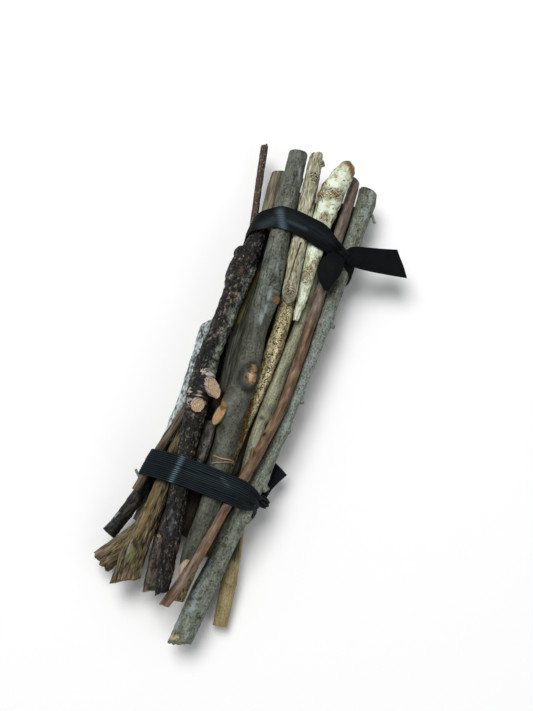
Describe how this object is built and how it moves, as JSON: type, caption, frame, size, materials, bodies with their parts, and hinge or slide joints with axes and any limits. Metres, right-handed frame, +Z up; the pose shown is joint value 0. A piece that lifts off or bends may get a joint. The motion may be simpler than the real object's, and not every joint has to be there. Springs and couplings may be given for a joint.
{
  "type": "bundle of twigs",
  "caption": "Bundle of cut bark-covered twigs laid lengthwise and tied near each end with black grosgrain ribbon, knotted at the side; lies flat as a rustic decoration.",
  "frame": {"origin": "on the surface that the bundle lies on, under the middle of its bounding box", "axes": "+Y along the twigs towards the upper ribbon, +X to the knots' side, +Z up"},
  "size_m": [0.118, 0.302, 0.0499],
  "materials": {
    "grey_right_twig": "grey-green bark with blue-grey lichen and small spurs",
    "red_brown_twig": "smooth red-brown bark with a pale shiny streak",
    "main_grey_twig": "smooth grey-olive bark with knots and a cut scar",
    "short_tan_twig": "light tan fibrous bark",
    "birch_twig": "pale cream peeling bark with brown patches",
    "black_mottled_twig": "black crusted bark with grey lichen and pale cut stubs",
    "thin_dark_twig": "dark red-brown bark with light specks",
    "brown_back_twig": "grey-brown streaked bark",
    "silver_twig": "silver-grey bark with dark specks",
    "left_brown_twig": "plain brown bark",
    "forked_brown_twig": "fibrous brown bark with an ochre streak",
    "mauve_twig": "mauve-grey speckled bark",
    "olive_cane_twig": "olive-tan bark with a node ring",
    "speckled_tan_twig": "tan bark with dense wormy dark specks",
    "under_left_twig": "dark grey bark",
    "under_middle_left_twig": "brown bark",
    "under_middle_twig": "grey-brown bark",
    "under_middle_right_twig": "light brown bark",
    "under_right_twig": "grey-olive bark",
    "inner_left_twig": "dark brown bark",
    "inner_upper_twig": "grey-brown bark",
    "inner_middle_twig": "brown bark",
    "inner_centre_twig": "brown bark",
    "inner_right_twig": "grey bark",
    "upper_ribbon": "black grosgrain ribbon, matt with a slight sheen on the ribs",
    "lower_ribbon": "black grosgrain ribbon, matt with a slight sheen on the ribs"
  },
  "bodies": {
    "root": {"grey_right_twig": "grey_right_twig", "red_brown_twig": "red_brown_twig", "main_grey_twig": "main_grey_twig", "short_tan_twig": "short_tan_twig", "birch_twig": "birch_twig", "black_mottled_twig": "black_mottled_twig", "thin_dark_twig": "thin_dark_twig", "brown_back_twig": "brown_back_twig", "silver_twig": "silver_twig", "left_brown_twig": "left_brown_twig", "forked_brown_twig": "forked_brown_twig", "mauve_twig": "mauve_twig", "olive_cane_twig": "olive_cane_twig", "speckled_tan_twig": "speckled_tan_twig", "under_left_twig": "under_left_twig", "under_middle_left_twig": "under_middle_left_twig", "under_middle_twig": "under_middle_twig", "under_middle_right_twig": "under_middle_right_twig", "under_right_twig": "under_right_twig", "inner_left_twig": "inner_left_twig", "inner_upper_twig": "inner_upper_twig", "inner_middle_twig": "inner_middle_twig", "inner_centre_twig": "inner_centre_twig", "inner_right_twig": "inner_right_twig", "upper_ribbon": "upper_ribbon", "lower_ribbon": "lower_ribbon"}
  },
  "joints": []
}
